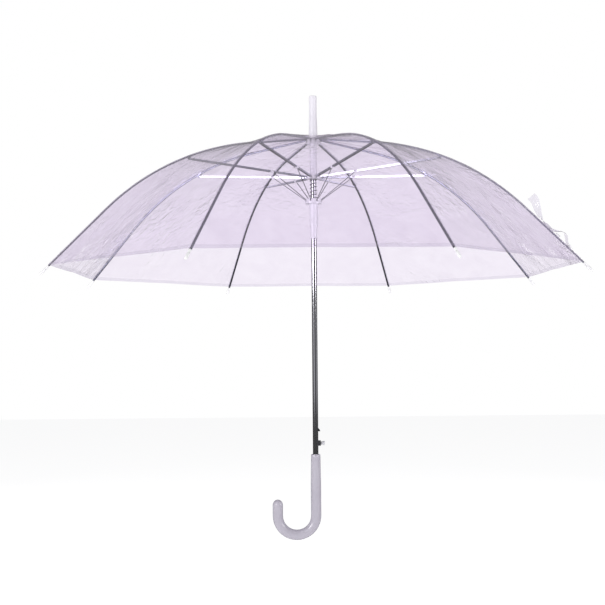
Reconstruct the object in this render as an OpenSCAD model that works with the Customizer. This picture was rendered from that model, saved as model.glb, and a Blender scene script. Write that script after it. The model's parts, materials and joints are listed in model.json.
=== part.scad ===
// Stick umbrella with a clear film cover, eight ribs, an opening spring and a hooked handle.
// The shaft's axis is Z, the hook's lowest point is at z = 0, and the hook bends towards -X.

/* [Frame] */
// Radius from the shaft's axis to the ends of the rib tips
canopy_r = 490; // [455:5:560]
// Height of the rib pivots in the top notch
crown_z = 730; // [700:5:780]
// Radius of the rib pivots
crown_pivot_r = 10; // [9.5:0.5:13]
// Radius at which a rib starts to bend
bend_start_r = 122; // [100:2:140]
// Radius of the rib's bend
bend_r = 448; // [400:4:460]
// Slope of a rib at the crown, in degrees below level
slope_in = 8; // [6:0.5:10]
// Slope of a rib at its tip, in degrees below level
slope_out = 46; // [42:1:46]
// Radius at which the stretcher meets the rib
elbow_r = 238; // [210:2:250]

/* [Ribs and stretchers] */
// Width of a rib's channel
rib_w = 3.3; // [2.8:0.1:4]
// Height of a rib's channel
rib_h = 2.4; // [2:0.1:3]
// Wall of the rib and stretcher channels
channel_wall = 0.6; // [0.5:0.1:0.8]
// How far the stretcher's pin hangs below the rib's middle
elbow_drop = 4; // [3.8:0.1:5]
// Width of a stretcher's channel
stretcher_w = 3.8; // [3.4:0.1:4.4]
// Height of a stretcher's channel
stretcher_h = 3.4; // [3:0.1:4]
// Distance from a stretcher's inner pin to its strut's pin
strut_at = 71; // [60:1:80]
// Diameter of a strut's wire
strut_d = 1.4; // [1.2:0.1:1.8]
// Radius of the pins in ribs, stretchers and struts
pin_r = 0.7; // [0.5:0.05:0.8]
// Diameter of a rib's plastic tip
tip_d = 5; // [4.6:0.1:7]
// Length of a rib's plastic tip
tip_len = 20; // [14:1:30]

/* [Shaft and runners] */
// Diameter of the shaft
shaft_d = 10; // [8:0.2:10.4]
// Wall of the shaft
shaft_wall = 0.7; // [0.5:0.1:1]
// Drop from the crown to the stretcher pivots in the upper runner
hub_drop = 70; // [60:1:80]
// Radius of the stretcher pivots
hub_pivot_r = 11; // [10.5:0.5:12]
// Drop from the stretcher pivots to the strut pivots in the lower runner
ring_drop = 43; // [38:1:50]
// Radius of the strut pivots
ring_pivot_r = 14; // [13.5:0.5:16]
// Wall of the sleeve below the lower runner's ring
sleeve_wall = 2.72; // [2.2:0.02:3.4]
// Wall of the sleeve's narrow end
sleeve_end_wall = 1.12; // [1:0.02:1.9]
// Length from the strut pivots down to the sleeve's end
sleeve_len = 70; // [64:1:76]
// Height of the latch window above the sleeve's end
window_up = 4; // [3:0.5:7]
// Diameter of the runners' wires
wire_d = 1.2; // [0.8:0.1:1.4]
// Wire diameter of the opening spring
spring_wire_d = 1.3; // [1:0.1:1.6]
// Play between the opening spring and the shaft
spring_play = 0.5; // [0.3:0.1:1]
// Turns of the opening spring
spring_turns = 5; // [3:1:5]

/* [Handle and latch] */
// Diameter of the handle's mouth
handle_top_d = 16.8; // [15:0.2:20]
// Diameter of the handle's hook
handle_d = 18.4; // [16:0.2:22]
// Radius of the hook's bend, at the middle of the grip
hook_r = 34.7; // [28:0.5:45]
// Height of the handle's mouth
handle_top_z = 154; // [130:1:160]
// Straight length of the hook's short leg
hook_leg = 19.5; // [5:0.5:40]
// Depth of the shaft's socket in the handle
socket_depth = 38; // [25:1:60]
// Height of the push button
button_z = 174; // [170:1:176]
// Direction of the push button and the catch, in degrees from +X: midway between two ribs
latch_azimuth = 0; // [-90:45:90]
// How far the catch stands out of the shaft
catch_out = 3.4; // [2:0.1:4]
// Travel of the push button
button_travel = 4; // [3.6:0.1:4.5]

/* [Ferrule and cover] */
// Length of the ferrule
ferrule_len = 77.7; // [60:0.1:90]
// Diameter of the ferrule's base
ferrule_base_d = 16; // [14.4:0.2:17]
// Diameter of the ferrule's end, where another piece can slip on
ferrule_end_d = 14; // [13:0.2:14]
// Length of the ferrule's straight end
ferrule_end_len = 34; // [20:1:40]
// Thickness of the cover's film
film_t = 0.4; // [0.3:0.1:0.6]
// Gap between the cover's hem and the rib tips, along a rib
hem_gap = 1; // [0.5:0.5:4]
// Width of the closing strap
strap_w = 13; // [10:0.5:18]
// Length of the closing strap where it lies on the cover
strap_len = 110; // [80:5:140]

/* [Hidden] */
rib_count = 8;
first_azimuth = 22.5;
strap_rib = 8;
running_gap = 0.05;
slide_gap = 0.08;
side_gap = 0.4;
film_gap = 0.8;
round_fn = 48;

// The rib's centre line in its own plane: straight, then an arc, then straight again.
function along(angle) = [cos(angle), -sin(angle)];
function across(angle) = [sin(angle), cos(angle)];
crown = [crown_pivot_r, crown_z];
straight_in = (bend_start_r - crown_pivot_r) / cos(slope_in);
bend_start = crown + straight_in * along(slope_in);
bend_middle = bend_start - bend_r * across(slope_in);
function on_bend(angle) = bend_middle + bend_r * across(angle);
function slope_at(radius) = asin((radius - bend_middle[0]) / bend_r);
bend_end = on_bend(slope_out);
straight_out = (canopy_r - bend_end[0]) / cos(slope_out);
rib_end = bend_end + straight_out * along(slope_out);

// The elbow, where the rib's two lengths and the stretcher meet.
elbow_slope = slope_at(elbow_r);
elbow = on_bend(elbow_slope);
elbow_pin = elbow - elbow_drop * across(elbow_slope);

// The stretcher, from the upper runner to the elbow's pin.
hub_z = crown_z - hub_drop;
hub = [hub_pivot_r, hub_z];
reach = elbow_pin - hub;
stretcher_len = norm(reach);
stretcher_rise = atan2(reach[1], reach[0]);
strut_pin = hub + strut_at * [cos(stretcher_rise), sin(stretcher_rise)];
ring_z = hub_z - ring_drop;
ring = [ring_pivot_r, ring_z];
strut_reach = strut_pin - ring;
strut_len = norm(strut_reach);
strut_rise = atan2(strut_reach[1], strut_reach[0]);

wire_r = wire_d / 2;
eye_r = pin_r + 0.8;
shaft_r = shaft_d / 2;
bore_r = shaft_r + slide_gap;
shaft_foot_z = handle_top_z - socket_depth;
notch_top = crown_z - 0.8;
notch_h = 7.4;
notch_r = crown_pivot_r + 3;
notch_core_r = crown_pivot_r - 2.4;
film_low = rib_h / 2 + film_gap;
film_high = film_low + film_t;
crown_film_z = crown_z + film_low - 0.3;
washer_z = crown_film_z + film_t;
washer_t = 1;
washer_r = 7.6;
ferrule_z = washer_z + washer_t;
shaft_top_z = ferrule_z + 36;
hub_up = 5;
hub_down = 3;
hub_r = hub_pivot_r + 2.5;
stop_sleeve_r = shaft_r + 1.5;
strut_eye_r = pin_r + 0.35;
hem_in = tip_len + hem_gap;
hub_slot_w = 2.8;
tongue_w = 2;
ring_up = 2.2;
ring_down = 6;
ring_r = ring_pivot_r + 1.5;
sleeve_foot_z = ring_z - sleeve_len;
sleeve_neck_z = sleeve_foot_z + 23;
window_h = 12;
window_w = 3;

// The closed umbrella: stretchers and ribs almost along the shaft, and how far the lower runner has come down.
closed_rise = 88.6;
crown_clearance = 2.2;
rib_reach = norm(elbow_pin - crown);
closed_elbow_r = hub_pivot_r + stretcher_len * cos(closed_rise);
closed_rib_drop = sqrt(pow(rib_reach, 2) - pow(closed_elbow_r - crown_pivot_r - crown_clearance, 2));
closed_hub_z = crown_z - stretcher_len * sin(closed_rise) - closed_rib_drop;
closed_strut_r = hub_pivot_r + strut_at * cos(closed_rise);
closed_strut_z = closed_hub_z + strut_at * sin(closed_rise);
closed_ring_z = closed_strut_z - sqrt(pow(strut_len, 2) - pow(closed_strut_r - ring_pivot_r, 2));
runner_travel = ring_z - closed_ring_z;
catch_z = sleeve_foot_z + window_up + window_h / 2 - runner_travel;
catch_t = 2;
catch_h = 9;
button_r = 3;
housing_out = 4.4;
housing_w = 9.2;
housing_h = 9;
stem_r = 2;
leaf_t = 0.6;
leaf_r = shaft_r - shaft_wall - 1.6;
stem_tip = leaf_r + leaf_t + 0.3;
cap_r = 4;
cap_end_r = 3.4;
cap_at = shaft_r + housing_out + button_travel + 0.5;
cap_len = 2.8;
button_coil_r = 2.5;
button_wire = 0.5;
button_turns = 2;
shoulder_at = shaft_r + button_travel + button_turns * button_wire + 0.3;
strap_end_r = 0.9 * canopy_r;

function azimuth(k) = first_azimuth + (k - 1) * 360 / rib_count;

// Turns a module's children from the +X side to rib k.
module at_rib(k) {
    rotate([0, 0, azimuth(k)]) children();
}

// Makes a solid of the given width from an outline in a rib's plane, which is drawn as [radius, height].
module in_plane(width) {
    rotate([90, 0, 0]) linear_extrude(height = width, center = true) children();
}

// A round bar along the tangent at [radius, height], such as a pin or an eye.
module cross_bar(place, radius, width) {
    translate([place[0], 0, place[1]]) rotate([90, 0, 0])
        cylinder(r = radius, h = width, center = true, $fn = round_fn);
}

// A ring of round wire about the shaft.
module wire_ring(radius, height, thickness) {
    translate([0, 0, height]) rotate_extrude($fn = 96)
        translate([radius, 0]) circle(r = thickness / 2, $fn = 24);
}

// A tube about the shaft between two heights.
module tube(outer, inner, low, high) {
    translate([0, 0, low]) difference() {
        cylinder(r = outer, h = high - low, $fn = round_fn);
        translate([0, 0, -1]) cylinder(r = inner, h = high - low + 2, $fn = round_fn);
    }
}

// Slots at the ribs, from a core radius outwards.
module rib_slots(width, core, low, high) {
    for (k = [1:rib_count]) at_rib(k)
        translate([core, -width / 2, low]) cube([40, width, high - low]);
}

// A bar along the rib between two slopes of its bend, from lo to hi across its centre line.
module bend_band(from, to, lo, hi) {
    far = bend_r * 1.1;
    translate(bend_middle) intersection() {
        difference() {
            circle(r = bend_r + hi, $fn = 360);
            circle(r = bend_r + lo, $fn = 360);
        }
        polygon([[0, 0], far * across(from), far * across((from + to) / 2), far * across(to)]);
    }
}

// A straight bar from a point along a slope.
module straight_band(start, slope, from, to, lo, hi) {
    translate(start) rotate(-slope) translate([from, lo]) square([to - from, hi - lo]);
}

module channel_outline(lo, hi, start_skip, bend_from, bend_to, end_skip) {
    if (bend_from == slope_in)
        straight_band(crown, slope_in, start_skip, straight_in + 0.01, lo, hi);
    bend_band(bend_from, bend_to, lo, hi);
    if (bend_to == slope_out)
        straight_band(bend_end, slope_out, -0.01, straight_out - end_skip, lo, hi);
}

elbow_cut = 1.5;
elbow_cut_slope = elbow_cut / bend_r * 180 / PI;
groove_skip_slope = 9 / bend_r * 180 / PI;
ear_t = 0.6;

// The rib's inner length, from the top notch to the elbow, with the two ears that hold the elbow's pins.
module inner_rib(k) {
    color("slategray") at_rib(k) {
        difference() {
            in_plane(rib_w)
                channel_outline(-rib_h / 2, rib_h / 2, -1.4, slope_in, elbow_slope - elbow_cut_slope, 0);
            in_plane(rib_w - 2 * channel_wall)
                channel_outline(-rib_h, rib_h / 2 - channel_wall, 12, slope_in,
                    elbow_slope - groove_skip_slope, 0);
        }
        for (side = [-1, 1]) translate([0, side * (rib_w + ear_t) / 2, 0])
            in_plane(ear_t + 0.02) elbow_ear();
        cross_bar(elbow, pin_r, rib_w + 2 * ear_t);
        cross_bar(elbow_pin, pin_r, rib_w + 2 * ear_t);
    }
}

module elbow_ear() {
    translate(elbow) rotate(-elbow_slope) {
        translate([-8, -eye_r - 0.3]) square([8 + eye_r, 2 * eye_r - 0.3]);
        translate([-eye_r, -elbow_drop]) square([2 * eye_r, elbow_drop]);
        translate([0, -elbow_drop]) circle(r = eye_r, $fn = round_fn);
    }
}

// The rib's outer length, from the elbow to the tip.
module outer_rib(k) {
    color("slategray") at_rib(k) {
        difference() {
            union() {
                in_plane(rib_w - 0.3)
                    channel_outline(-rib_h / 2, rib_h / 2, 0, elbow_slope, slope_out, 3);
                cross_bar(elbow, rib_h / 2, rib_w - 0.3);
            }
            in_plane(rib_w - 0.3 - 2 * channel_wall)
                channel_outline(-rib_h, rib_h / 2 - channel_wall, 0,
                    elbow_slope + groove_skip_slope, slope_out, tip_len);
            cross_bar(elbow, pin_r + running_gap, rib_w);
        }
    }
}

// The plastic tip that holds the cover's hem on the rib's end.
module rib_tip(k) {
    tip_r = tip_d / 2;
    color("white") at_rib(k) translate([rib_end[0], 0, rib_end[1]]) rotate([0, 90 + slope_out, 0])
        difference() {
            rotate_extrude($fn = round_fn) polygon([
                [0, -tip_len], [tip_r - 0.6, -tip_len], [tip_r, -tip_len + 1.5], [tip_r, -1.5],
                [tip_r - 0.4, -0.5], [tip_r - 1, 0], [0, 0]
            ]);
            translate([-rib_h / 2 - 0.05, -(rib_w - 0.2) / 2, -tip_len - 1])
                cube([rib_h + 0.1, rib_w - 0.2, tip_len + 1 - 2.9]);
        }
}

// The stretcher's channel opens downwards, so that the strut folds into it.
module stretcher(k) {
    solid_end = 9;
    color("slategray") at_rib(k) translate([hub[0], 0, hub[1]]) rotate([0, -stretcher_rise, 0]) {
        difference() {
            union() {
                translate([solid_end - 3, -stretcher_w / 2, -stretcher_h / 2])
                    cube([stretcher_len - 2 * solid_end + 6, stretcher_w, stretcher_h]);
                translate([0, -tongue_w / 2, -1.2]) cube([solid_end, tongue_w, 2.4]);
                cross_bar([0, 0], eye_r, tongue_w);
                translate([stretcher_len - solid_end, -(rib_w - 0.4) / 2, -1.3])
                    cube([solid_end, rib_w - 0.4, 2.6]);
                cross_bar([stretcher_len, 0], eye_r, rib_w - 0.4);
            }
            translate([solid_end, -stretcher_w / 2 + channel_wall, -stretcher_h])
                cube([stretcher_len - 2 * solid_end, stretcher_w - 2 * channel_wall,
                    stretcher_h + strut_eye_r + running_gap]);
            cross_bar([0, 0], wire_r + 0.25, stretcher_w);
            cross_bar([stretcher_len, 0], pin_r + running_gap, stretcher_w);
        }
        cross_bar([strut_at, 0], pin_r, stretcher_w + 0.6);
    }
}

// The wire strut, from the lower runner to the pin in the stretcher.
module strut(k) {
    color("darkgray") at_rib(k) translate([ring[0], 0, ring[1]]) rotate([0, 90 - strut_rise, 0])
        difference() {
            union() {
                cylinder(d = strut_d, h = strut_len - 0.5, $fn = 24);
                sphere(r = 0.9, $fn = 32);
                rotate([90, 0, 0]) translate([0, strut_len, 0])
                    cylinder(r = strut_eye_r, h = strut_d, center = true, $fn = round_fn);
            }
            rotate([90, 0, 0]) translate([0, strut_len, 0])
                cylinder(r = pin_r + running_gap, h = stretcher_w, center = true, $fn = round_fn);
        }
}

module shaft() {
    inner = shaft_r - shaft_wall;
    color("silver") difference() {
        tube(shaft_r, inner, shaft_foot_z, shaft_top_z);
        rotate([0, 0, latch_azimuth]) {
            translate([0, -catch_t / 2 - side_gap / 2, catch_z - catch_h / 2 - 1])
                cube([shaft_r + 1, catch_t + side_gap, catch_h + 2]);
            translate([0, 0, button_z]) rotate([0, 90, 0])
                cylinder(r = stem_r + 2 * running_gap, h = shaft_r + 1, $fn = round_fn);
        }
    }
}

// The sleeve under the top notch that stops the upper runner when the umbrella is open.
module stop_sleeve() {
    color("whitesmoke") tube(stop_sleeve_r, shaft_r, hub_z + hub_up + 0.3, notch_top - notch_h);
}

module top_notch() {
    low = notch_top - notch_h;
    color("whitesmoke") difference() {
        tube(notch_r, shaft_r, low, notch_top);
        rib_slots(rib_w + 2 * side_gap, notch_core_r, low - 1, notch_top + 1);
        wire_ring(crown_pivot_r, crown_z - rib_h / 2 - wire_r - 0.2, wire_d);
    }
}

module notch_wire() {
    color("gray") wire_ring(crown_pivot_r, crown_z - rib_h / 2 - wire_r - 0.2, wire_d);
}

module crown_washer() {
    color("whitesmoke") tube(washer_r, shaft_r, washer_z, ferrule_z);
}

module ferrule() {
    base_r = ferrule_base_d / 2;
    end_r = ferrule_end_d / 2;
    end_z = ferrule_len - ferrule_end_len;
    color("white") translate([0, 0, ferrule_z]) difference() {
        rotate_extrude($fn = 96) polygon([
            [0, 0], [base_r - 0.4, 0], [base_r, 0.8], [base_r, 5], [end_r, end_z],
            [end_r, ferrule_len - 1.5], [end_r - 0.5, ferrule_len - 0.4],
            [end_r - 1.5, ferrule_len], [0, ferrule_len]
        ]);
        translate([0, 0, -1]) cylinder(r = shaft_r, h = 37, $fn = round_fn);
    }
}

// The cover: eight film panels, flat between ribs, that follow the ribs' bend.
film_slopes = [for (i = [0:8]) slope_in + (slope_out - slope_in) * i / 8];
function film_points(lift) = concat(
    [[shaft_r + 0.5, crown_film_z + lift - film_low]],
    [crown + 2 * along(slope_in) + lift * across(slope_in)],
    [for (a = film_slopes) on_bend(a) + lift * across(a)],
    [rib_end - hem_in * along(slope_out) + lift * across(slope_out)]
);

module cover() {
    low_side = film_points(film_low);
    profile = concat(film_points(film_high), [for (i = [len(low_side) - 1:-1:0]) low_side[i]]);
    count = len(profile);
    points = [
        for (k = [1:rib_count]) for (p = profile) [p[0] * cos(azimuth(k)), p[0] * sin(azimuth(k)), p[1]]
    ];
    faces = [
        for (k = [0:rib_count - 1]) for (i = [0:count - 1])
            let (next = (k + 1) % rib_count, j = (i + 1) % count)
            [k * count + i, k * count + j, next * count + j, next * count + i]
    ];
    color("lavender", 0.5) polyhedron(points, faces, convexity = 6);
}

// The closing strap lies on the cover along one rib and turns with it; its upper end stands off the bend.
strap_foot = straight_out - (canopy_r - strap_end_r) / cos(slope_out);
module closing_strap() {
    lift = film_high + 0.4;
    color("lavender") at_rib(strap_rib) in_plane(strap_w)
        straight_band(bend_end, slope_out, strap_foot - strap_len, strap_foot, lift, lift + 0.8);
}

module strap_snap() {
    lift = film_high + 1.2;
    color("white") at_rib(strap_rib) translate([bend_end[0], 0, bend_end[1]])
        rotate([0, slope_out, 0]) translate([strap_foot - 12, 0, lift])
            cylinder(d = 9, h = 1.6, $fn = round_fn);
}

module upper_runner() {
    low = hub_z - hub_down;
    high = hub_z + hub_up;
    color("whitesmoke") difference() {
        tube(hub_r, bore_r, low, high);
        rib_slots(hub_slot_w, hub_pivot_r - 2.6, low - 1, high + 1);
        wire_ring(hub_pivot_r, hub_z, wire_d);
    }
}

module upper_runner_wire() {
    color("gray") wire_ring(hub_pivot_r, hub_z, wire_d);
}

module lower_runner() {
    color("white") difference() {
        union() {
            tube(ring_r, bore_r, ring_z - ring_down, ring_z + ring_up);
            tube(bore_r + sleeve_wall, bore_r, sleeve_neck_z, ring_z);
            tube(bore_r + sleeve_end_wall, bore_r, sleeve_foot_z, ring_z);
        }
        rib_slots(hub_slot_w, ring_pivot_r - 3, ring_z - 2.6, ring_z + ring_up + 1);
        wire_ring(ring_pivot_r, ring_z - 1.7, wire_d);
        rotate([0, 0, latch_azimuth])
            translate([0, -window_w / 2, sleeve_foot_z + window_up]) cube([20, window_w, window_h]);
    }
}

module lower_runner_wire() {
    color("gray") wire_ring(ring_pivot_r, ring_z - 1.7, wire_d);
}

// A coil of round wire about Z, with its ends level.
module coil(radius, wire, low, high, turns) {
    steps = 16;
    sides = 6;
    last = turns * steps;
    rise = high - low - wire;
    points = [
        for (i = [0:last]) for (s = [0:sides - 1])
            let (turn = 360 * i / steps, r = radius + wire / 2 * cos(360 * s / sides))
            [r * cos(turn), r * sin(turn), low + wire / 2 + rise * i / last + wire / 2 * sin(360 * s / sides)]
    ];
    walls = [
        for (i = [0:last - 1]) for (s = [0:sides - 1])
            let (t = (s + 1) % sides)
            [i * sides + s, (i + 1) * sides + s, (i + 1) * sides + t, i * sides + t]
    ];
    caps = [[for (s = [0:sides - 1]) s], [for (s = [sides - 1:-1:0]) last * sides + s]];
    polyhedron(points, concat(walls, caps), convexity = 12);
}

module opening_spring() {
    color("gray") coil(shaft_r + spring_play + spring_wire_d / 2, spring_wire_d,
        ring_z + ring_up + 0.05, hub_z - hub_down - 0.05, spring_turns);
}

// The handle: a straight grip, a half-round hook and a short leg with a rounded end.
module handle() {
    grip_r = handle_d / 2;
    mouth_r = handle_top_d / 2;
    bend_z = hook_r + grip_r;
    color("thistle") difference() {
        union() {
            rotate_extrude($fn = 96) polygon([
                [0, bend_z], [grip_r, bend_z], [grip_r, bend_z + 40], [mouth_r, handle_top_z - 1.6],
                [mouth_r - 0.5, handle_top_z - 0.5], [mouth_r - 1.6, handle_top_z], [0, handle_top_z]
            ]);
            translate([-hook_r, 0, bend_z]) rotate([90, 0, 0])
                rotate_extrude(angle = 180, start = 180, $fn = 96) translate([hook_r, 0])
                    circle(r = grip_r, $fn = 64);
            translate([-2 * hook_r, 0, bend_z]) {
                cylinder(r = grip_r, h = hook_leg, $fn = 96);
                translate([0, 0, hook_leg]) sphere(r = grip_r, $fn = 96);
            }
        }
        translate([0, 0, shaft_foot_z]) cylinder(r = shaft_r, h = socket_depth + 1, $fn = round_fn);
    }
}

// The block on the side of the shaft that guides the push button.
module button_housing() {
    color("dimgray") rotate([0, 0, latch_azimuth]) difference() {
        translate([0, -housing_w / 2, button_z - housing_h / 2])
            cube([shaft_r + housing_out, housing_w, housing_h]);
        translate([0, 0, button_z - housing_h])
            cylinder(r = shaft_r, h = 2 * housing_h, $fn = round_fn);
        translate([0, 0, button_z]) rotate([0, 90, 0])
            cylinder(r = button_r + running_gap, h = 20, $fn = round_fn);
    }
}

// The push button: a round stem that reaches the catch, with a cap outside.
module push_button() {
    color("gainsboro") rotate([0, 0, latch_azimuth]) translate([0, 0, button_z]) rotate([0, 90, 0]) {
        translate([0, 0, stem_tip]) cylinder(r = stem_r, h = shoulder_at - stem_tip + 1, $fn = round_fn);
        translate([0, 0, shoulder_at]) cylinder(r = button_r, h = cap_at - shoulder_at + 1, $fn = round_fn);
        translate([0, 0, cap_at]) cylinder(r1 = cap_r, r2 = cap_end_r, h = cap_len, $fn = round_fn);
    }
}

module button_spring() {
    color("gray") rotate([0, 0, latch_azimuth]) translate([0, 0, button_z]) rotate([0, 90, 0])
        coil(button_coil_r, button_wire, shaft_r + running_gap, shoulder_at - running_gap, button_turns);
}

// The catch: a strip of spring steel in the shaft, and a tooth that lets the runner down and holds it there.
module catch() {
    tooth = shaft_r + catch_out;
    foot = catch_z - catch_h / 2 + 0.5;
    top = catch_z + catch_h / 2;
    color("dimgray") rotate([0, 0, latch_azimuth]) in_plane(catch_t) {
        translate([leaf_r, button_z - 4]) square([leaf_t, top - button_z + 4]);
        polygon([[leaf_r, foot], [tooth, foot], [tooth, foot + 2], [leaf_r + leaf_t, top], [leaf_r, top]]);
    }
}

shaft();
top_notch();
notch_wire();
ferrule();
crown_washer();
stop_sleeve();
cover();
upper_runner();
upper_runner_wire();
lower_runner();
lower_runner_wire();
opening_spring();
handle();
button_housing();
push_button();
button_spring();
catch();
closing_strap();
strap_snap();
for (k = [1:rib_count]) {
    inner_rib(k);
    outer_rib(k);
    rib_tip(k);
    stretcher(k);
    strut(k);
}
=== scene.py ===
import json
import math

import bmesh
import bpy
import numpy as np
from mathutils import Matrix, Vector, noise


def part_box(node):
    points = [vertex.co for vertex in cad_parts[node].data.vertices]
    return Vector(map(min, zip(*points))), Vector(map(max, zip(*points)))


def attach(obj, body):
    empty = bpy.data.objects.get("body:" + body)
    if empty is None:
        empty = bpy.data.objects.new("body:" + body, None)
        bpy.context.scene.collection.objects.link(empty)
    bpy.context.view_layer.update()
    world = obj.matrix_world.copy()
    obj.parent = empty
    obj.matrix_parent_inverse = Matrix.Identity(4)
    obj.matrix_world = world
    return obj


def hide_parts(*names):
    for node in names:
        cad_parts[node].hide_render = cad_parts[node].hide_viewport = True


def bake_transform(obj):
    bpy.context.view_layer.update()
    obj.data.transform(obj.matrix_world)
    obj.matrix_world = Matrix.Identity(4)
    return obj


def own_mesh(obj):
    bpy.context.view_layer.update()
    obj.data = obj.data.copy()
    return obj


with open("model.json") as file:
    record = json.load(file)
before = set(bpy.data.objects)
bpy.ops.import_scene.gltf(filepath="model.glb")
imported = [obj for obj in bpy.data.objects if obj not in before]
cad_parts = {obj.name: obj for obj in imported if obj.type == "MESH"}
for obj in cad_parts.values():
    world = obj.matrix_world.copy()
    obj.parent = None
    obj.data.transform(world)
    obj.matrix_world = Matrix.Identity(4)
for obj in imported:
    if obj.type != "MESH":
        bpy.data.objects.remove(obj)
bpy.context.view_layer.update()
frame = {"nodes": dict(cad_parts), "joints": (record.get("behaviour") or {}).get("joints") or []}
joints = {joint["name"]: joint for joint in frame["joints"]}
ribNumbers = range(1, 9)
print("frame loaded")

# camera, floor and light
view = {
    "distance": 1.7634,  # from the shaft, metres
    "turn": -1.58,  # degrees round the shaft from straight ahead
    "height": 0.3525,
    "pitch": 2.51,  # degrees up
    "yaw": 0.71,  # degrees to the left
    "roll": 0.44,
    "lens": 57.43,
}
studio = {
    "floorHeight": -0.30,
    "floorSize": 14.0,
    "backdrop": 1.0,  # brightness of the pale room as the camera sees it
    "floorMirrored": 0.07,
    "fill": 0.47,  # and as it lights the umbrella
    "lampAim": (0, 0, 0.6),
    # brightness round the horizon as shiny things see it, from -X through -Y, +X and +Y back to -X
    "bands": (
        (0.0, 0.10), (0.06, 0.22), (0.12, 0.60), (0.20, 0.70), (0.235, 0.04), (0.27, 0.03),
        (0.31, 0.20), (0.38, 0.24), (0.43, 0.60), (0.47, 0.20), (0.60, 0.16), (1.0, 0.10),
    ),
}
# softboxes: place, width and height in metres, power in watts
lamps = {
    "keyBox": ((-2.13, -1.87, 1.02), 1.5, 0.8, 32.0),
    "sideBox": ((2.3, -1.5, 1.02), 0.6, 0.8, 18.0),
    "topBox": ((0.3, -1.3, 2.7), 1.2, 0.5, 1.5),
    "rimLeft": ((-1.9, 2.2, 1.2), 0.25, 1.6, 3.0),
    "rimRight": ((1.9, 2.2, 1.2), 0.25, 1.6, 3.0),
}

# the line of a rib: straight from the top notch, bent, then straight to the tip
ribLine = {
    "slopeIn": 8,  # degrees below level at the crown
    "slopeOut": 46,  # and at the tip
    "bendStart": 0.122,  # radius where the bend starts
    "bendRadius": 0.448,
    "crownRadius": 0.010,  # radius of the pivots in the notch
    "tipRadius": 0.490,
    "width": 0.0033,
    "height": 0.0024,
    "wall": 0.0006,
}

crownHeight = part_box("top_notch")[1].z + 0.0008
elbowPlace = Vector(joints["rib_bend_1"]["pos_m"])
elbowRadius = math.hypot(elbowPlace.x, elbowPlace.y)


def azimuthOf(rib):
    return math.radians(22.5 + 45 * (rib - 1))


def alongSlope(angle):
    return np.array([math.cos(angle), -math.sin(angle)])


def acrossSlope(angle):
    return np.array([math.sin(angle), math.cos(angle)])


slopeIn = math.radians(ribLine["slopeIn"])
slopeOut = math.radians(ribLine["slopeOut"])
crownPoint = np.array([ribLine["crownRadius"], crownHeight])
straightIn = (ribLine["bendStart"] - ribLine["crownRadius"]) / math.cos(slopeIn)
bendMiddle = crownPoint + straightIn * alongSlope(slopeIn) - ribLine["bendRadius"] * acrossSlope(slopeIn)
bendEnd = bendMiddle + ribLine["bendRadius"] * acrossSlope(slopeOut)
bendLength = ribLine["bendRadius"] * (slopeOut - slopeIn)
straightOut = (ribLine["tipRadius"] - bendEnd[0]) / math.cos(slopeOut)
ribLength = straightIn + bendLength + straightOut
elbowSlope = math.asin((elbowRadius - bendMiddle[0]) / ribLine["bendRadius"])
elbowLength = straightIn + ribLine["bendRadius"] * (elbowSlope - slopeIn)


# point [radius, height] and slope at a length along the rib, lifted off its middle
def ribAt(length, lift=0.0):
    if length < straightIn:
        return crownPoint + length * alongSlope(slopeIn) + lift * acrossSlope(slopeIn), slopeIn
    if length < straightIn + bendLength:
        slope = slopeIn + (length - straightIn) / ribLine["bendRadius"]
        return bendMiddle + (ribLine["bendRadius"] + lift) * acrossSlope(slope), slope
    rest = length - straightIn - bendLength
    return bendEnd + rest * alongSlope(slopeOut) + lift * acrossSlope(slopeOut), slopeOut


# from a rib's own plane, [radius, sideways, height], to the frame
def toFrame(rib, radius, sideways, height):
    turn = azimuthOf(rib)
    c, s = math.cos(turn), math.sin(turn)
    return Vector((radius * c - sideways * s, radius * s + sideways * c, height))


def makeCamera():
    data = bpy.data.cameras.new("camera")
    data.lens = view["lens"]
    data.sensor_width = 36
    camera = bpy.data.objects.new("camera", data)
    bpy.context.scene.collection.objects.link(camera)
    turn = math.radians(view["turn"])
    place = Vector((view["distance"] * math.sin(turn), -view["distance"] * math.cos(turn), view["height"]))
    aim = Matrix.Rotation(math.radians(view["yaw"]) + turn, 4, "Z")
    aim = aim @ Matrix.Rotation(math.radians(90 + view["pitch"]), 4, "X")
    aim = aim @ Matrix.Rotation(math.radians(-view["roll"]), 4, "Z")
    camera.matrix_world = Matrix.Translation(place) @ aim
    bpy.context.scene.camera = camera


def makeFloor():
    half = studio["floorSize"] / 2
    low = studio["floorHeight"]
    mesh = bpy.data.meshes.new("floor")
    corners = [(-half, -half, low), (half, -half, low), (half, half, low), (-half, half, low)]
    mesh.from_pydata(corners, [], [(0, 1, 2, 3)])
    floor = bpy.data.objects.new("floor", mesh)
    bpy.context.scene.collection.objects.link(floor)
    paint, nodes, links, shader = newMaterial("floorPaint")
    shader.inputs["Base Color"].default_value = (0.94, 0.94, 0.95, 1)
    shader.inputs["Roughness"].default_value = 0.9
    shader.inputs["Specular IOR Level"].default_value = 0.0
    shader.inputs["Emission Color"].default_value = (1, 1, 1, 1)
    shader.inputs["Emission Strength"].default_value = 0.5
    shade = nodes.new("ShaderNodeEmission")  # what shiny things see of it
    shade.inputs["Strength"].default_value = studio["floorMirrored"]
    rays = nodes.new("ShaderNodeLightPath")
    mix = nodes.new("ShaderNodeMixShader")
    links.new(rays.outputs["Is Glossy Ray"], mix.inputs["Fac"])
    links.new(shader.outputs[0], mix.inputs[1])
    links.new(shade.outputs[0], mix.inputs[2])
    links.new(mix.outputs[0], nodes["Material Output"].inputs["Surface"])
    mesh.materials.append(paint)


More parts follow.
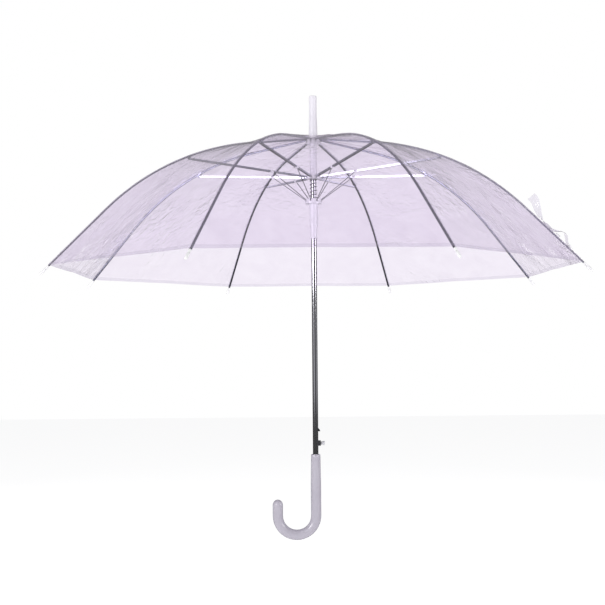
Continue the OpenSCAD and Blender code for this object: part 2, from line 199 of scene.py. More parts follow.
# a pale room that lights evenly; shiny things see it darker, with brighter stretches round the horizon
def makeRoom():
    scene = bpy.context.scene
    scene.view_settings.view_transform = "Standard"
    world = bpy.data.worlds.new("room")
    scene.world = world
    world.use_nodes = True
    nodes, links = world.node_tree.nodes, world.node_tree.links
    nodes.clear()
    out = nodes.new("ShaderNodeOutputWorld")
    plain = nodes.new("ShaderNodeBackground")
    plain.inputs["Color"].default_value = (1, 1, 1, 1)
    rays = nodes.new("ShaderNodeLightPath")
    level = nodes.new("ShaderNodeMapRange")  # dimmer for light that lands on things
    level.inputs["To Min"].default_value = studio["fill"]
    level.inputs["To Max"].default_value = studio["backdrop"]
    links.new(rays.outputs["Is Camera Ray"], level.inputs["Value"])
    links.new(level.outputs["Result"], plain.inputs["Strength"])
    banded = nodes.new("ShaderNodeBackground")
    place = nodes.new("ShaderNodeTexCoord")
    split = nodes.new("ShaderNodeSeparateXYZ")
    links.new(place.outputs["Generated"], split.inputs[0])
    turn = nodes.new("ShaderNodeMath")
    turn.operation = "ARCTAN2"
    links.new(split.outputs["Y"], turn.inputs[0])
    links.new(split.outputs["X"], turn.inputs[1])
    shift = nodes.new("ShaderNodeMapRange")
    shift.inputs["From Min"].default_value = -math.pi
    shift.inputs["From Max"].default_value = math.pi
    links.new(turn.outputs[0], shift.inputs["Value"])
    bands = nodes.new("ShaderNodeValToRGB")
    ramp = bands.color_ramp
    first, last = studio["bands"][0], studio["bands"][-1]
    ramp.elements[0].position = first[0]
    ramp.elements[0].color = (first[1], first[1], first[1] * 1.05, 1)
    ramp.elements[1].position = last[0]
    ramp.elements[1].color = (last[1], last[1], last[1] * 1.05, 1)
    for spot, grey in studio["bands"][1:-1]:
        stop = ramp.elements.new(spot)
        stop.color = (grey, grey, min(1, grey * 1.05), 1)
    links.new(shift.outputs["Result"], bands.inputs["Fac"])
    links.new(bands.outputs["Color"], banded.inputs["Color"])
    mix = nodes.new("ShaderNodeMixShader")
    links.new(rays.outputs["Is Glossy Ray"], mix.inputs["Fac"])
    links.new(plain.outputs[0], mix.inputs[1])
    links.new(banded.outputs[0], mix.inputs[2])
    links.new(mix.outputs[0], out.inputs["Surface"])


def softbox(name, place, aim, width, height, power):
    data = bpy.data.lights.new(name, "AREA")
    data.shape = "RECTANGLE"
    data.size = width
    data.size_y = height
    data.energy = power
    lamp = bpy.data.objects.new(name, data)
    bpy.context.scene.collection.objects.link(lamp)
    lamp.location = place
    lamp.rotation_euler = (Vector(aim) - Vector(place)).to_track_quat("-Z", "Y").to_euler()


def makeLights():
    for name, (place, width, height, power) in lamps.items():
        softbox(name, place, studio["lampAim"], width, height, power)


# materials
def newMaterial(name):
    material = bpy.data.materials.new(name)
    material.use_nodes = True
    nodes, links = material.node_tree.nodes, material.node_tree.links
    return material, nodes, links, nodes["Principled BSDF"]


# colour that drifts between two tones, with finer mottling, in the piece's own space
def drift(nodes, links, low, high, scale, detail=3.0, stretch=(1, 1, 1)):
    place = nodes.new("ShaderNodeTexCoord")
    fit = nodes.new("ShaderNodeMapping")
    fit.inputs["Scale"].default_value = stretch
    links.new(place.outputs["Object"], fit.inputs["Vector"])
    cloud = nodes.new("ShaderNodeTexNoise")
    cloud.inputs["Scale"].default_value = scale
    cloud.inputs["Detail"].default_value = detail
    links.new(fit.outputs["Vector"], cloud.inputs["Vector"])
    ramp = nodes.new("ShaderNodeValToRGB")
    ramp.color_ramp.elements[0].position = 0.32
    ramp.color_ramp.elements[0].color = (*low, 1)
    ramp.color_ramp.elements[1].position = 0.68
    ramp.color_ramp.elements[1].color = (*high, 1)
    links.new(cloud.outputs["Fac"], ramp.inputs["Fac"])
    return cloud, ramp


def greyRange(nodes, links, source, low, high):
    fit = nodes.new("ShaderNodeMapRange")
    fit.inputs["To Min"].default_value = low
    fit.inputs["To Max"].default_value = high
    links.new(source, fit.inputs["Value"])
    return fit.outputs["Result"]


def addBump(nodes, links, shader, source, strength, distance):
    bump = nodes.new("ShaderNodeBump")
    bump.inputs["Strength"].default_value = strength
    bump.inputs["Distance"].default_value = distance
    links.new(source, bump.inputs["Height"])
    links.new(bump.outputs["Normal"], shader.inputs["Normal"])
    return bump


# drawn or plated steel: fine lengthways lines, faint smudges
def steel(name, low, high, roughLow, roughHigh, stretch, bump=0.05):
    material, nodes, links, shader = newMaterial(name)
    cloud, ramp = drift(nodes, links, low, high, 60, 4, stretch)
    links.new(ramp.outputs["Color"], shader.inputs["Base Color"])
    links.new(greyRange(nodes, links, cloud.outputs["Fac"], roughLow, roughHigh), shader.inputs["Roughness"])
    shader.inputs["Metallic"].default_value = 1.0
    addBump(nodes, links, shader, cloud.outputs["Fac"], bump, 0.0003)
    return material


# moulded plastic: slight cloudiness, gloss that varies, very fine ripple
def plastic(name, low, high, roughLow, roughHigh, scale=40, coat=0.3):
    material, nodes, links, shader = newMaterial(name)
    cloud, ramp = drift(nodes, links, low, high, scale)
    links.new(ramp.outputs["Color"], shader.inputs["Base Color"])
    links.new(greyRange(nodes, links, cloud.outputs["Fac"], roughLow, roughHigh), shader.inputs["Roughness"])
    shader.inputs["Coat Weight"].default_value = coat
    shader.inputs["Coat Roughness"].default_value = 0.06
    ripple = nodes.new("ShaderNodeTexNoise")
    ripple.inputs["Scale"].default_value = 350
    addBump(nodes, links, shader, ripple.outputs["Fac"], 0.06, 0.0004)
    return material


film = {
    "tint": (0.900, 0.857, 0.937),
    "frost": (0.80, 0.75, 0.84),
    "frostShare": 0.08,
    "crease": 0.55,
    "pucker": 2.6,
    "roughness": 0.08,
}


# clear tinted film: lets the room through with a lavender tint, mirrors lamps, creases lightly
def clearFilm(name, frostShare, tint):
    material, nodes, links, shader = newMaterial(name)
    out = nodes["Material Output"]
    shader.inputs["Base Color"].default_value = (*film["frost"], 1)
    shader.inputs["Roughness"].default_value = film["roughness"]
    shader.inputs["IOR"].default_value = 1.48
    place = nodes.new("ShaderNodeTexCoord")
    crease = nodes.new("ShaderNodeTexNoise")
    crease.inputs["Scale"].default_value = 26
    crease.inputs["Detail"].default_value = 5
    crease.inputs["Distortion"].default_value = 0.6
    links.new(place.outputs["Object"], crease.inputs["Vector"])
    pucker = nodes.new("ShaderNodeTexNoise")
    pucker.inputs["Scale"].default_value = 75
    pucker.inputs["Detail"].default_value = 1.5
    pucker.inputs["Distortion"].default_value = 0.8
    links.new(place.outputs["Object"], pucker.inputs["Vector"])
    patch = nodes.new("ShaderNodeTexNoise")  # where the film is crumpled
    patch.inputs["Scale"].default_value = 7
    patch.inputs["Detail"].default_value = 2
    links.new(place.outputs["Object"], patch.inputs["Vector"])
    where = nodes.new("ShaderNodeMapRange")
    where.inputs["From Min"].default_value = 0.52
    where.inputs["From Max"].default_value = 0.66
    where.inputs["To Min"].default_value = 0.0
    where.inputs["To Max"].default_value = film["pucker"]
    links.new(patch.outputs["Fac"], where.inputs["Value"])
    both = nodes.new("ShaderNodeMath")
    both.operation = "MULTIPLY_ADD"
    links.new(where.outputs["Result"], both.inputs[1])
    links.new(pucker.outputs["Fac"], both.inputs[0])
    links.new(crease.outputs["Fac"], both.inputs[2])
    bump = addBump(nodes, links, shader, both.outputs[0], film["crease"], 0.004)
    clear = nodes.new("ShaderNodeBsdfTransparent")
    # painted crease shade: the tint is a touch darker in the crease hollows and lighter on their crests
    creaseShadeTint = nodes.new("ShaderNodeValToRGB")
    creaseShadeTint.color_ramp.elements[0].position = 0.30
    creaseShadeTint.color_ramp.elements[0].color = (tint[0] * 0.975, tint[1] * 0.965, tint[2] * 0.98, 1)
    creaseShadeTint.color_ramp.elements[1].position = 0.72
    creaseShadeTint.color_ramp.elements[1].color = (*[min(1, c * 1.03) for c in tint], 1)
    links.new(crease.outputs["Fac"], creaseShadeTint.inputs["Fac"])
    links.new(creaseShadeTint.outputs["Color"], clear.inputs["Color"])
    mirror = nodes.new("ShaderNodeFresnel")
    facing = nodes.new("ShaderNodeNewGeometry")
    index = nodes.new("ShaderNodeMapRange")  # the same gloss on both of its sides
    index.inputs["To Min"].default_value = 1.45
    index.inputs["To Max"].default_value = 1 / 1.45
    links.new(facing.outputs["Backfacing"], index.inputs["Value"])
    links.new(index.outputs["Result"], mirror.inputs["IOR"])
    links.new(bump.outputs["Normal"], mirror.inputs["Normal"])
    share = nodes.new("ShaderNodeMath")
    share.operation = "MULTIPLY_ADD"
    share.use_clamp = True
    share.inputs[1].default_value = 1.0
    share.inputs[2].default_value = frostShare
    links.new(mirror.outputs["Fac"], share.inputs[0])
    mix = nodes.new("ShaderNodeMixShader")
    links.new(share.outputs[0], mix.inputs["Fac"])
    links.new(clear.outputs[0], mix.inputs[1])
    links.new(shader.outputs[0], mix.inputs[2])
    links.new(mix.outputs[0], out.inputs["Surface"])
    return material


makeCamera()
makeRoom()
makeFloor()
makeLights()

chromeTube = steel("chromeTube", (0.44, 0.44, 0.46), (0.58, 0.58, 0.60), 0.06, 0.16, (1, 1, 0.03), 0.02)
ribCoat = steel("ribCoat", (0.24, 0.25, 0.31), (0.34, 0.35, 0.42), 0.16, 0.30, (1, 1, 1))
stretcherCoat = steel("stretcherCoat", (0.40, 0.41, 0.47), (0.52, 0.53, 0.58), 0.10, 0.20, (1, 1, 1))
wireSteel = steel("wireSteel", (0.24, 0.24, 0.27), (0.40, 0.40, 0.44), 0.22, 0.38, (1, 1, 1))
whitePlastic = plastic("whitePlastic", (0.82, 0.80, 0.86), (0.87, 0.85, 0.91), 0.24, 0.36)
lilacPlastic = plastic("lilacPlastic", (0.475, 0.45, 0.52), (0.515, 0.49, 0.56), 0.20, 0.28, 18, 0.45)
tipPlastic = plastic("tipPlastic", (0.90, 0.89, 0.92), (0.96, 0.96, 0.97), 0.2, 0.3)
darkPlastic = plastic("darkPlastic", (0.03, 0.03, 0.035), (0.06, 0.06, 0.07), 0.3, 0.45)
greyPlastic = plastic("greyPlastic", (0.60, 0.60, 0.64), (0.70, 0.70, 0.74), 0.2, 0.3)
coverFilm = clearFilm("coverFilm", film["frostShare"], film["tint"])
seamFilm = clearFilm("seamFilm", 0.03, (0.95, 0.94, 0.98))
hemFilm = clearFilm("hemFilm", 0.15, (0.80, 0.765, 0.85))
strapFilm = clearFilm("strapFilm", 0.30, (0.88, 0.87, 0.92))
print("camera, room and materials made")


def makePiece(name, points, faces, material):
    mesh = bpy.data.meshes.new(name)
    mesh.from_pydata([tuple(p) for p in points], [], faces)
    mesh.validate()
    mesh.materials.append(material)
    for face in mesh.polygons:
        face.use_smooth = True
    piece = bpy.data.objects.new(name, mesh)
    bpy.context.scene.collection.objects.link(piece)
    return piece


# joins rings of points, all of one size, into a tube or a strip
def ringFaces(rings, size, closed=True):
    faces = []
    for r in range(rings - 1):
        for i in range(size if closed else size - 1):
            j = (i + 1) % size
            faces.append((r * size + i, r * size + j, (r + 1) * size + j, (r + 1) * size + i))
    if closed:
        faces.append(tuple(reversed(range(size))))
        faces.append(tuple((rings - 1) * size + i for i in range(size)))
    return faces


# the cover, one film surface worked out whole, then shared out to the ribs that carry it
cover = {
    "lift": 0.0020,  # film above the rib's middle
    "hemIn": 0.0210,  # hem to the end of the tip, along the rib
    "scallop": 0.0018,  # how far the hem rises half way between ribs
    "sag": 0.0045,  # how far a panel dips half way between ribs
    "crownRing": 0.0062,  # radius of the hole at the shaft
    "hemBand": 0.0080,  # width of the welded hem
    "wrinkle": 0.0016,
    "rowsInner": 30,
    "rowsOuter": 36,
    "columns": 20,
    "folded": 0.045,  # share of a panel's width left when the umbrella is closed
    "foldLiftInner": 0.003,  # how far off the rib's line the folded film lies
    "foldLiftOuter": 0.010,
}
hemLength = ribLength - cover["hemIn"]
hemRows = 3
halfPanel = math.radians(22.5)


# creases: fine folds that run out from the crown and small puckers near the ribs
def creaseAt(place, across, reach):
    radial = math.atan2(place.y, place.x)
    fan = noise.noise(Vector((radial * 9.0, place.length * 2.2, 3.1)))
    fine = noise.noise(Vector((radial * 26.0, place.length * 5.0, 7.7)))
    patch = noise.noise(place * 16.0 + Vector((5.3, 1.1, 0)))
    nearCrown = max(0.0, 1 - reach / 0.55)
    nearRib = math.exp(-across * 5.0)
    folds = 0.55 * fan * (0.5 + nearCrown) + 0.5 * fine * (0.25 + 1.4 * nearCrown)
    return (folds + 0.35 * patch * (0.6 + nearRib)) * min(1.0, across * 9)


# a point of the half panel beside a rib; across runs from 0 at the rib to 1 half way to the next rib
def filmPoint(rib, side, length, across):
    lengthHere = length
    if length > 0.6 * ribLength:
        share = (length - 0.6 * ribLength) / (hemLength - 0.6 * ribLength)
        lengthHere = length - cover["scallop"] * share * across**2
    flat, slope = ribAt(lengthHere, cover["lift"])
    radius, height = flat
    if lengthHere < 0.004:  # the film lies level on the notch
        height = ribAt(0.004, cover["lift"])[0][1]
    reach = min(1.0, max(0.0, lengthHere / ribLength))
    dip = cover["sag"] * (1 - (1 - across) ** 2) * max(0.0, math.sin(math.pi * min(1, reach))) ** 0.8
    x = radius - math.sin(halfPanel) * (radius * math.sin(halfPanel) * across)
    y = side * math.cos(halfPanel) * radius * math.sin(halfPanel) * across
    middle = Vector((math.cos(halfPanel), side * math.sin(halfPanel), 0))
    normal = Vector((middle.x * math.sin(slope), middle.y * math.sin(slope), math.cos(slope)))
    place = Vector((x, y, height)) - normal * dip
    place = toFrame(rib, place.x, place.y, place.z)
    turn = azimuthOf(rib)
    out = Vector(
        (
            normal.x * math.cos(turn) - normal.y * math.sin(turn),
            normal.x * math.sin(turn) + normal.y * math.cos(turn),
            normal.z,
        )
    )
    return place + out * cover["wrinkle"] * creaseAt(place, across, reach)


# lengths along the rib of the film's rows, from the shaft's hole to the elbow and on to the hem
ringLength = cover["crownRing"] - ribLine["crownRadius"]
bandStart = hemLength - cover["hemBand"]
innerLengths = [
    ringLength + (elbowLength - ringLength) * i / cover["rowsInner"] for i in range(cover["rowsInner"] + 1)
]
outerLengths = [
    elbowLength + (bandStart - elbowLength) * i / cover["rowsOuter"] for i in range(cover["rowsOuter"] + 1)
]
outerLengths += [bandStart + cover["hemBand"] * i / hemRows for i in range(1, hemRows + 1)]
columnShares = [(i / cover["columns"]) ** 1.35 for i in range(cover["columns"] + 1)]


def halfPanelGrid(rib, side, lengths):
    return [[filmPoint(rib, side, length, across) for across in columnShares] for length in lengths]


def gridNormals(grid):
    points = np.array([[tuple(p) for p in row] for row in grid])
    down = np.gradient(points, axis=0)
    over = np.gradient(points, axis=1)
    normals = np.cross(down, over)
    normals /= np.maximum(np.linalg.norm(normals, axis=2, keepdims=True), 1e-12)
    return normals


# ends, [radius, height], of the rib length that carries a piece of the cover
def ribPlanePair(title):
    if title == "coverInner":
        return ribAt(0.0, cover["lift"])[0], ribAt(elbowLength, cover["lift"])[0]
    return ribAt(elbowLength, cover["lift"])[0], ribAt(hemLength, cover["lift"])[0]


# the direction in which a half panel flattens as the umbrella closes, and a point it flattens towards
def panelFold(title, rib, side):
    start, end = ribPlanePair(title)
    chord = np.array(end) - np.array(start)
    slope = math.atan2(-chord[1], chord[0])
    inPlane = -math.sin(halfPanel) * math.sin(slope)
    axis = np.array([inPlane * math.sin(slope), side * math.cos(halfPanel), inPlane * math.cos(slope)])
    axis /= np.linalg.norm(axis)
    direction = toFrame(rib, axis[0], axis[1], 0) + Vector((0, 0, axis[2]))
    middle = np.array(start) * 0.5 + np.array(end) * 0.5
    lift = cover["foldLiftOuter"] if title == "coverOuter" else cover["foldLiftInner"]
    anchor = toFrame(rib, middle[0] + lift * math.sin(slope), 0, middle[1] + lift * math.cos(slope))
    return direction, anchor


# the film in half panels: two beside each rib's inner length and two beside its outer length
def makeCover():
    for rib in ribNumbers:
        for side in (1, -1):
            whole = halfPanelGrid(rib, side, innerLengths + outerLengths[1:])
            normals = gridNormals(whole)
            normals = -normals if normals[3][3][2] < 0 else normals
            split = cover["rowsInner"]
            parts = (
                ("coverInner", whole[: split + 1], normals[: split + 1], "inner_rib_"),
                ("coverOuter", whole[split:], normals[split:], "outer_rib_"),
            )
            for title, grid, bend, body in parts:
                name = f"{title}{'Left' if side > 0 else 'Right'}_{rib}"
                size = len(columnShares)
                points = [p for row in grid for p in row]
                faces = []
                for r in range(len(grid) - 1):
                    for i in range(size - 1):
                        quad = (r * size + i, (r + 1) * size + i, (r + 1) * size + i + 1, r * size + i + 1)
                        faces.append(quad if side > 0 else tuple(reversed(quad)))
                piece = makePiece(name, points, faces, coverFilm)
                if title == "coverOuter":  # the welded hem
                    piece.data.materials.append(hemFilm)
                    for face in piece.data.polygons[-hemRows * (size - 1) :]:
                        face.material_index = 1
                piece.data.normals_split_custom_set_from_vertices([tuple(n) for row in bend for n in row])
                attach(piece, body + str(rib))
                direction, anchor = panelFold(title, rib, side)
                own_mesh(piece)
    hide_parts("cover")


# a rib is one long spring-steel channel, with its elbow bracket and rivets
ribRod = {
    "start": -0.0014,
    "end": -0.0030,
    "round": 0.0005,  # rounded shoulders of the channel
    "blend": 0.014,  # how much of the rib bends at the elbow
}


def channelSection(width, height, wall, shoulder):
    w, h = width / 2, height / 2
    top = []
    for i in range(4):
        angle = math.pi / 2 * i / 3
        top.append((w - shoulder + shoulder * math.cos(angle), h - shoulder + shoulder * math.sin(angle)))
    outer = [(w, -h)] + top + [(-x, z) for x, z in reversed(top)] + [(-w, -h)]
    inner = [(-w + wall, -h), (-w + wall, h - wall), (w - wall, h - wall), (w - wall, -h)]
    return outer + inner


def makeRibs():
    section = channelSection(ribLine["width"], ribLine["height"], ribLine["wall"], ribRod["round"])
    last = ribLength + ribRod["end"]
    count = 90
    seams = {}
    for number in ribNumbers:
        points = []
        for i in range(count + 1):
            length = ribRod["start"] + (last - ribRod["start"]) * i / count
            for sideways, lift in section:
                flat = ribAt(length, lift)[0]
                points.append(toFrame(number, flat[0], sideways, flat[1]))
        rod = makePiece(f"ribRod_{number}", points, ringFaces(count + 1, len(section)), ribCoat)
        flattenSharp(rod, 40)
        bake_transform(rod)
        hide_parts(f"inner_rib_{number}", f"outer_rib_{number}")
        makeElbow(number)
        seams[number] = makeSeam(number)
    return seams


# keeps edges sharper than the angle, and smooths the rest
def flattenSharp(piece, degrees):
    mesh = piece.data
    mesh.set_sharp_from_angle(angle=math.radians(degrees))


elbow = {
    "earLength": 0.0105,
    "earWidth": 0.0034,
    "earThick": 0.0006,
    "drop": 0.0040,
    "rivet": 0.0014,
    "rivetHigh": 0.0007,
}


# two ears beside the rib that hold the stretcher's pin, with domed rivet heads
def makeElbow(number):
    centre, slope = ribAt(elbowLength)
    points, faces = [], []

    def local(sideways, along, lift):
        flat = centre + along * alongSlope(slope) + lift * acrossSlope(slope)
        return toFrame(number, flat[0], sideways, flat[1])

    for side in (-1, 1):
        outline = [(-0.008, 0.0010), (0.0016, 0.0010), (0.0023, 0.0003)]
        outline += [
            (0.0019 * math.cos(a), -elbow["drop"] + 0.0019 * math.sin(a))
            for a in [math.radians(20 - 220 * i / 10) for i in range(11)]
        ]
        outline += [(-0.0030, -0.0018), (-0.008, -0.0016)]
        base = len(points)
        size = len(outline)
        near = ribLine["width"] / 2
        for depth in (near, near + elbow["earThick"]):
            points += [local(side * depth, a, l) for a, l in outline]
        faces += [tuple(base + i for i in range(size)), tuple(base + size + i for i in reversed(range(size)))]
        for i in range(size):
            j = (i + 1) % size
            faces.append((base + i, base + size + i, base + size + j, base + j))
        for lift in (0.0, -elbow["drop"]):
            base = len(points)
            rings = ((1.0, 0.0), (0.98, 0.4), (0.75, 0.8), (0.35, 1.0))
            for shrink, rise in rings:
                for i in range(14):
                    a = math.tau * i / 14
                    depth = near + elbow["earThick"] + rise * elbow["rivetHigh"]
                    reach = shrink * elbow["rivet"]
                    points.append(local(side * depth, reach * math.cos(a), lift + reach * math.sin(a)))
            faces += [tuple(base + i for i in f) for f in ringFaces(len(rings), 14)]
    piece = makePiece(f"elbowBracket_{number}", points, faces, ribCoat)
    recalcNormals(piece)
    flattenSharp(piece, 35)
    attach(piece, f"inner_rib_{number}")


# turns all faces outwards
def recalcNormals(piece):
    work = bmesh.new()
    work.from_mesh(piece.data)
    bmesh.ops.recalc_face_normals(work, faces=work.faces)
    work.to_mesh(piece.data)
    work.free()


seam = {"half": 0.0034, "lift": 0.0004, "ripple": 0.00025}


# the welded seam over a rib, a narrow double layer of film
def makeSeam(number):
    shares = (-1.0, -0.55, 0.0, 0.55, 1.0)
    points = []
    count = 110
    first = innerLengths[0] + 0.004
    for i in range(count + 1):
        length = first + (hemLength - 0.0002 - first) * i / count
        flat, slope = ribAt(length, cover["lift"] + seam["lift"])
        ripple = seam["ripple"] * noise.noise(Vector((length * 90, number * 3.3, 0.5)))
        for share in shares:
            sideways = seam["half"] * share * min(1.0, (flat[0]) / 0.02)
            drop = abs(sideways) * math.tan(halfPanel) * math.sin(slope) - ripple
            points.append(
                toFrame(number, flat[0] - drop * math.sin(slope), sideways, flat[1] - drop * math.cos(slope))
            )
    size = len(shares)
    strip = makePiece(f"seam_{number}", points, ringFaces(count + 1, size, closed=False), seamFilm)
    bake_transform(strip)
    return strip


seams = makeRibs()
print("ribs and seams made")
makeCover()
print("cover made")


# turns a [radius, height] outline about an axis at a place
def turned(name, outline, material, place, axis, steps=40):
    toAxis = Vector(axis).to_track_quat("Z", "X").to_matrix()
    points = []
    for radius, height in outline:
        for i in range(steps):
            a = math.tau * i / steps
            local = Vector((radius * math.cos(a), radius * math.sin(a), height))
            points.append(toAxis @ local + Vector(place))
    piece = makePiece(name, points, ringFaces(len(outline), steps), material)
    recalcNormals(piece)
    flattenSharp(piece, 50)
    return piece


tip = {"radius": 0.0025, "length": 0.020}


# a tip: slim sleeve with a collar, a waist for the thread and a rounded end
def makeTips():
    r, base = tip["radius"], -tip["length"]
    outline = [
        (r * 0.62, base), (r * 0.80, base), (r * 0.86, base + 0.0004), (r * 0.86, base + 0.0050),
        (r * 0.80, base + 0.0055), (r * 0.72, base + 0.0064), (r * 0.72, base + 0.0074),
        (r * 0.95, base + 0.0084), (r, base + 0.0092), (r, -0.0042), (r * 0.97, -0.0026), (r * 0.86, -0.0013),
        (r * 0.62, -0.0004), (r * 0.30, -0.00003), (0.00002, 0.0),
    ]
    end, slope = ribAt(ribLength)
    for number in ribNumbers:
        place = toFrame(number, end[0], 0, end[1])
        along = toFrame(number, math.cos(slope), 0, 0) + Vector((0, 0, -math.sin(slope)))
        piece = turned(f"tipCap_{number}", outline, tipPlastic, place, along, 28)
        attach(piece, f"outer_rib_{number}")
        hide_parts(f"rib_tip_{number}")


makeTips()

# opening spring: a true coil of round wire with a closed turn at each end
spring = {"wire": 0.0013, "turns": 5.0, "closed": 0.8, "steps": 30, "sides": 10}


def makeCoil(name, radius, wire, low, high, turns, closed, steps, sides):
    points = []
    count = int((turns + 2 * closed) * steps)
    total = turns + 2 * closed
    rise = high - low - 2 * wire * closed - wire
    for i in range(count + 1):
        done = total * i / count
        middle = min(max(done - closed, 0), turns)
        ends = min(done, closed) + max(done - closed - turns, 0)
        height = low + wire / 2 + wire * ends + rise * middle / turns
        turn = math.tau * done
        for s in range(sides):
            a = math.tau * s / sides
            reach = radius + wire / 2 * math.cos(a)
            points.append((reach * math.cos(turn), reach * math.sin(turn), height + wire / 2 * math.sin(a)))
    piece = makePiece(name, points, ringFaces(count + 1, sides), wireSteel)
    recalcNormals(piece)
    return piece


def makeOpeningSpring():
    low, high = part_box("opening_spring")
    wire = spring["wire"]
    coil = makeCoil(
        "openingSpring", high.x - wire / 2, wire, low.z, high.z,
        spring["turns"], spring["closed"], spring["steps"], spring["sides"],
    )
    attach(coil, "upper_runner")
    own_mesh(coil)
    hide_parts("opening_spring")


# the button's spring lies across the shaft; pressing the button squeezes the real spring, but this coil keeps
# its rest length
buttonSpring = {"wire": 0.0005, "turns": 1.6, "closed": 0.3, "steps": 24, "sides": 8}


def makeButtonSpring():
    low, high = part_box("button_spring")
    length = high.x - low.x
    coil = makeCoil(
        "buttonSpring", (high.z - low.z - buttonSpring["wire"]) / 2, buttonSpring["wire"], 0, length,
        buttonSpring["turns"], buttonSpring["closed"], buttonSpring["steps"], buttonSpring["sides"],
    )
    coil.data.transform(Matrix.Rotation(math.pi / 2, 4, "Y"))
    coil.data.transform(Matrix.Translation((low.x, 0, (low.z + high.z) / 2)))
    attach(coil, "shaft_and_cover")
    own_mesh(coil)
    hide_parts("button_spring")


makeOpeningSpring()
makeButtonSpring()
print("tips and spring made")

# the handle: a grip that widens downwards, a half-round hook and a domed end
handle = {
    "hookRadius": 0.0347,
    "mouthRadius": 0.0084,
    "leg": 0.0195,  # straight length past the bend
    "rings": 120,
    "sides": 64,
    "mouthRound": 0.0018,
    "partLine": 0.00012,  # height of the mould's parting line
}


def makeHandle():
    low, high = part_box("handle")
    gripRadius = (high.y - low.y) / 2
    hook, mouthRadius = handle["hookRadius"], handle["mouthRadius"]
    bendHeight = hook + gripRadius
    straight = high.z - bendHeight
    arc = math.pi * hook
    total = straight + arc + handle["leg"]
    samples = [i / handle["rings"] * total for i in range(handle["rings"] + 1)]
    rings = []
    for shrink, back in ((0.62, 0.0), (0.80, 0.00012), (0.93, 0.0006), (0.985, 0.0012)):
        rings.append((back, shrink * mouthRadius))
    for s in samples[2:]:
        grow = min(1.0, s / (straight - 0.040))
        rings.append((s, mouthRadius + (gripRadius - mouthRadius) * (grow * grow * (3 - 2 * grow))))
    for i in range(1, 13):
        a = math.pi / 2 * i / 12.2
        rings.append((total + gripRadius * math.sin(a), gripRadius * math.cos(a)))
    points = []
    for s, radius in rings:
        if s <= straight:
            centre, outward = Vector((0, 0, high.z - s)), Vector((1, 0, 0))
        elif s <= straight + arc:
            a = (s - straight) / hook
            centre = Vector((hook * (math.cos(a) - 1), 0, bendHeight - hook * math.sin(a)))
            outward = Vector((math.cos(a), 0, -math.sin(a)))
        else:
            centre = Vector((-2 * hook, 0, bendHeight + (s - straight - arc)))
            outward = Vector((-1, 0, 0))
        for i in range(handle["sides"]):
            a = math.tau * i / handle["sides"]
            line = handle["partLine"] * max(0.0, 1 - abs(math.sin(a)) / 0.07) if radius > 0.004 else 0
            reach = radius + line
            points.append(centre + outward * (reach * math.cos(a)) + Vector((0, reach * math.sin(a), 0)))
    piece = makePiece("hookHandle", points, ringFaces(len(rings), handle["sides"]), lilacPlastic)
    recalcNormals(piece)
    flattenSharp(piece, 60)
    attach(piece, "shaft_and_cover")
    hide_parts("handle")


makeHandle()

# white plastic clips over the struts' pins, one on each stretcher
clip = {"length": 0.0078, "width": 0.0050, "height": 0.0044}


def makeClips():
    rows = 13
    sides = 20
    for number in ribNumbers:
        pin = Vector(joints[f"strut_fold_{number}"]["pos_m"])
        start = Vector(joints[f"stretcher_fold_{number}"]["pos_m"])
        along = (pin - start).normalized()
        turn = azimuthOf(number)
        across = Vector((-math.sin(turn), math.cos(turn), 0))
        up = along.cross(across)
        if up.z < 0:
            up = -up
        points = []
        for i in range(rows):
            share = i / (rows - 1) * 2 - 1
            swell = (1 - abs(share) ** 5) ** 0.5 * 0.9 + 0.1
            for k in range(sides):
                a = math.tau * k / sides
                ca, sa = math.cos(a), math.sin(a)
                w = clip["width"] / 2 * swell * math.copysign(abs(ca) ** 0.55, ca)
                h = clip["height"] / 2 * swell * math.copysign(abs(sa) ** 0.55, sa)
                points.append(pin + along * (share * clip["length"] / 2) + across * w + up * h)
        piece = makePiece(f"strutClip_{number}", points, ringFaces(rows, sides), whitePlastic)
        recalcNormals(piece)
        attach(piece, f"stretcher_{number}")


makeClips()

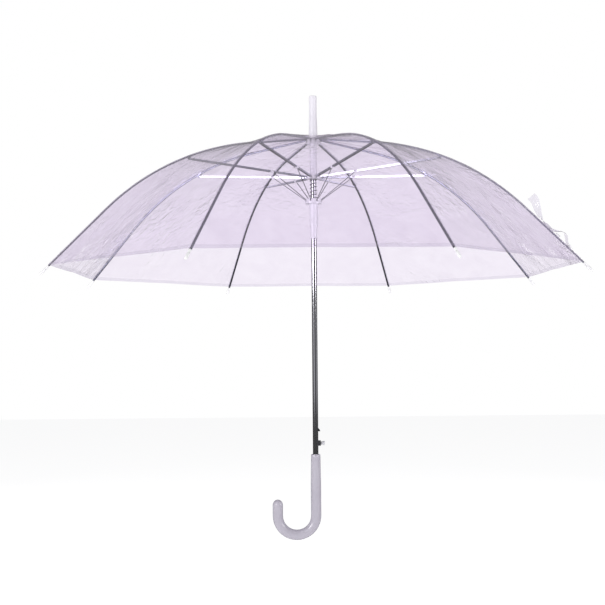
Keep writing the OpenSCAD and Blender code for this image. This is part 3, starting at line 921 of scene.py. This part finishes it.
# CAD pieces that stay, each with its finish and slightly rounded edges
finishes = {
    "shaft": (chromeTube, 0.0),
    "top_notch": (whitePlastic, 0.0003),
    "notch_wire": (wireSteel, 0.0),
    "ferrule": (whitePlastic, 0.0004),
    "crown_washer": (whitePlastic, 0.0002),
    "stop_sleeve": (whitePlastic, 0.0002),
    "upper_runner": (whitePlastic, 0.0003),
    "upper_runner_wire": (wireSteel, 0.0),
    "lower_runner": (whitePlastic, 0.0003),
    "lower_runner_wire": (wireSteel, 0.0),
    "button_housing": (darkPlastic, 0.0003),
    "push_button": (greyPlastic, 0.0003),
    "catch": (darkPlastic, 0.0001),
    "strap_snap": (whitePlastic, 0.0002),
}
for number in ribNumbers:
    finishes[f"stretcher_{number}"] = (stretcherCoat, 0.0002)
    finishes[f"strut_{number}"] = (wireSteel, 0.0)


def finishNodes():
    for name, (material, edge) in finishes.items():
        node = frame["nodes"][name]
        node.data.materials.clear()
        node.data.materials.append(material)
        if edge:
            bevel = node.modifiers.new("edge", "BEVEL")
            bevel.width = edge
            bevel.segments = 2
            bevel.limit_method = "ANGLE"
            bevel.angle_limit = math.radians(40)


finishNodes()

# the closing strap: a strip of the cover's film, sewn on near the tip, with a loop and a squared loose end
strap = {
    "rib": 8,
    "width": 0.017,
    "from": 0.405,
    "to": 0.515,
    "flatLength": 0.118,
    "stand": 0.017,  # how far the loose end stands off the cover
    "loop": 0.010,
    "twist": 62,  # degrees by which the loose end turns
}


def makeStrap():
    points = []
    count, columns = 90, 9
    for i in range(count + 1):
        done = i / count
        length = strap["from"] + (strap["to"] - strap["from"]) * done
        lift = 0.0014
        free = max(0.0, 1 - done / 0.42)
        lift += strap["stand"] * (free * free * (3 - 2 * free))
        if 0.58 < done < 0.93:
            lift += strap["loop"] * math.sin(math.pi * (done - 0.58) / 0.35) ** 2
        lift += 0.0007 * noise.noise(Vector((done * 13, 2.2, 0.1)))
        flat, slope = ribAt(length, cover["lift"] + seam["lift"] + lift)
        turn = math.radians(strap["twist"]) * free + 0.25 * math.sin(done * 9)
        for c in range(columns):
            share = c / (columns - 1) * 2 - 1
            reach = strap["width"] / 2 * share
            crumple = 0.0006 * noise.noise(Vector((done * 17, share * 1.6, 4.0)))
            sideways = reach * math.cos(turn)
            up = reach * math.sin(turn) + crumple
            place = flat + up * acrossSlope(slope)
            points.append(toFrame(strap["rib"], place[0], sideways, place[1]))
    strip = makePiece("closingStrap", points, ringFaces(count + 1, columns, closed=False), strapFilm)
    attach(strip, "outer_rib_8")
    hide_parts("closing_strap")


makeStrap()
print("handle, fittings and strap made")
